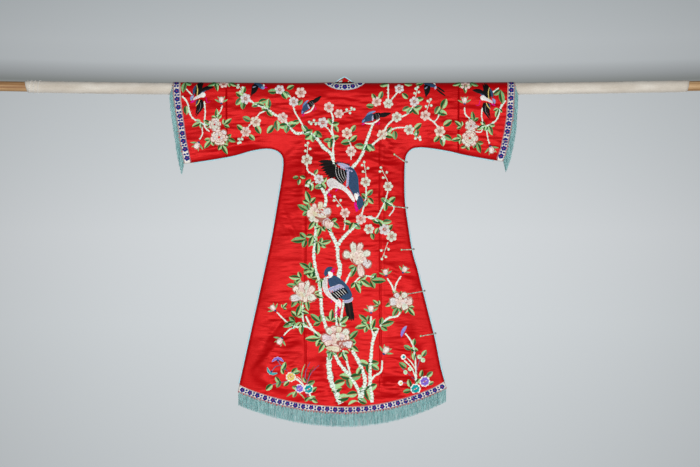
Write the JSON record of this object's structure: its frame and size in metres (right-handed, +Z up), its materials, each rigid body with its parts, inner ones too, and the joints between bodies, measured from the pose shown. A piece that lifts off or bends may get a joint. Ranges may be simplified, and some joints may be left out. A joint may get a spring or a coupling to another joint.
{
  "type": "theatrical robe on a pole",
  "caption": "Embroidered red theatrical robe with flowered ribbon and fringe, hung flat on a cotton-wrapped wooden pole through both sleeves.",
  "frame": {"origin": "middle of the pole's axis, inside the robe's neck, where the part is held", "axes": "+X along the pole to the robe's right sleeve, -Y out of the robe's back, +Z up"},
  "size_m": [2.96, 0.067, 1.4069],
  "materials": {
    "satin": "red silk satin, embroidered",
    "ribbon": "woven ribbon, cream with navy flowers",
    "piping": "narrow pale blue piping",
    "fringe": "teal silk fringe",
    "cord": "dark bound cord",
    "button": "knotted cord ball",
    "wood": "bare pine, lightly oiled",
    "cotton": "undyed cotton wrapping"
  },
  "bodies": {
    "root": {"back": "satin", "front_overlap": "satin", "front_under": "satin", "sleeve_left": "satin", "sleeve_right": "satin", "hem_ribbon_back": "ribbon", "hem_ribbon_front": "ribbon", "neck_ribbon": "ribbon", "cuff_ribbon_left": "ribbon", "cuff_ribbon_right": "ribbon", "piping_left": "piping", "piping_right": "piping", "piping_overlap": "piping", "hem_fringe_back": "fringe", "hem_fringe_front": "fringe", "cuff_fringe_left_back": "fringe", "cuff_fringe_left_front": "fringe", "cuff_fringe_right_back": "fringe", "cuff_fringe_right_front": "fringe", "loop_1": "cord", "loop_2": "cord", "loop_3": "cord", "loop_4": "cord", "loop_5": "cord", "loop_6": "cord", "loop_7": "cord", "knot_cord_1": "cord", "knot_cord_2": "cord", "knot_cord_3": "cord", "knot_cord_4": "cord", "knot_cord_5": "cord", "knot_cord_6": "cord", "knot_cord_7": "cord", "button_1": "button", "button_2": "button", "button_3": "button", "button_4": "button", "button_5": "button", "button_6": "button", "button_7": "button", "pole": "wood", "pole_wrap": "cotton", "wrap_yarn": "cotton"}
  },
  "joints": []
}
